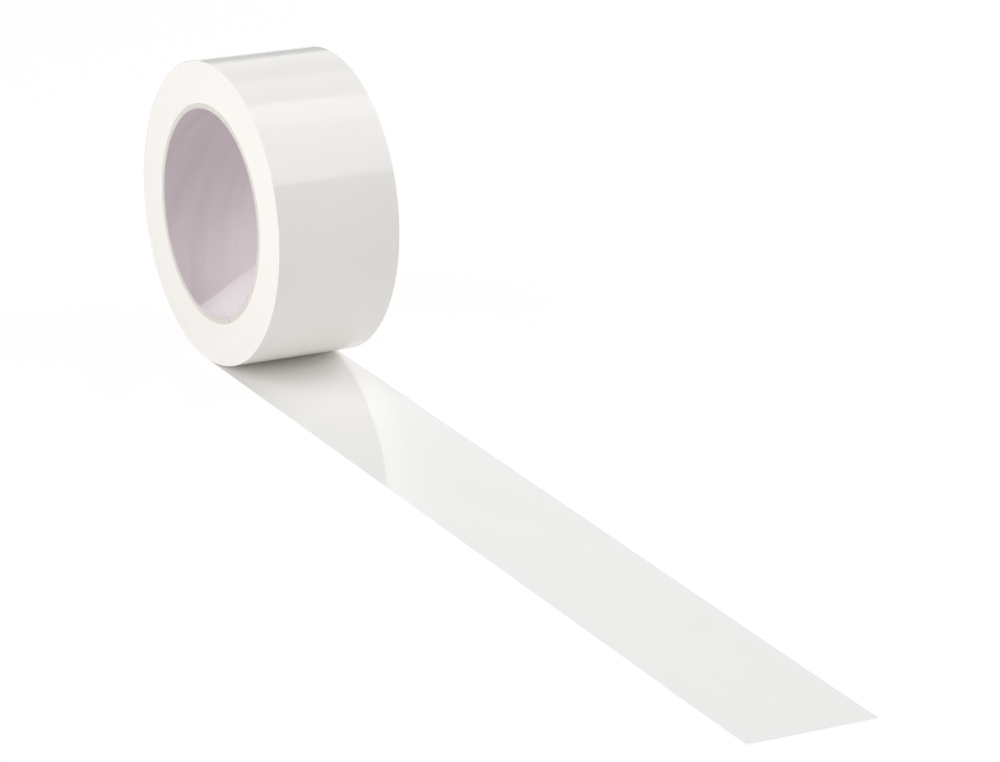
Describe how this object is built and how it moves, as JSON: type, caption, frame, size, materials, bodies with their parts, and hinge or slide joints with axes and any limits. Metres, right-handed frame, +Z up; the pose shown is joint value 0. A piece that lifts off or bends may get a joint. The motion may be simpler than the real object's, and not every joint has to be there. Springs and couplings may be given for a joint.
{
  "type": "packing tape roll",
  "caption": "Roll of white packing tape on a spiral-wound paper core, standing on its rim with a length of tape pulled out flat.",
  "frame": {"origin": "on the ground, at the middle of the footprint of the roll and its pulled-out tape", "axes": "+X along the pulled-out tape towards its cut end, +Y along the roll's axis, +Z up"},
  "size_m": [0.4298, 0.048, 0.1118],
  "materials": {
    "core_liner": "smooth calendered paper",
    "core_board": "raw grey board",
    "tape_edges": "cut film edges, satin",
    "tape_film": "glossy white backing film",
    "tape_adhesive": "wet-looking clear adhesive on white film"
  },
  "bodies": {
    "tape_path": {"outer_lap_film": "tape_film", "outer_lap_adhesive": "tape_adhesive", "takeoff_film": "tape_film", "takeoff_adhesive": "tape_adhesive"},
    "roll": {"core_liner": "core_liner", "core_ply_1": "core_board", "core_ply_2": "core_board", "core_ply_3": "core_board", "core_ply_4": "core_board", "wound_tape": "tape_edges"},
    "tail": {"tail_film": "tape_film", "tail_adhesive": "tape_adhesive"}
  },
  "joints": [
    {"name": "roll_turn", "type": "hinge", "parent": "tape_path", "child": "roll", "pos_m": [-0.15905, 0, 0.0559], "axis": [0, -1, 0], "range_deg": [0, 360]},
    {"name": "tape_pull", "type": "slide", "parent": "tape_path", "child": "tail", "axis": [1, 0, 0], "range_m": [0, 0.3511], "deforming": ["takeoff_film", "takeoff_adhesive"]}
  ],
  "couplings": [
    {"joint": "tape_pull", "follows": "roll_turn", "m_per_rad": 0.05587}
  ]
}
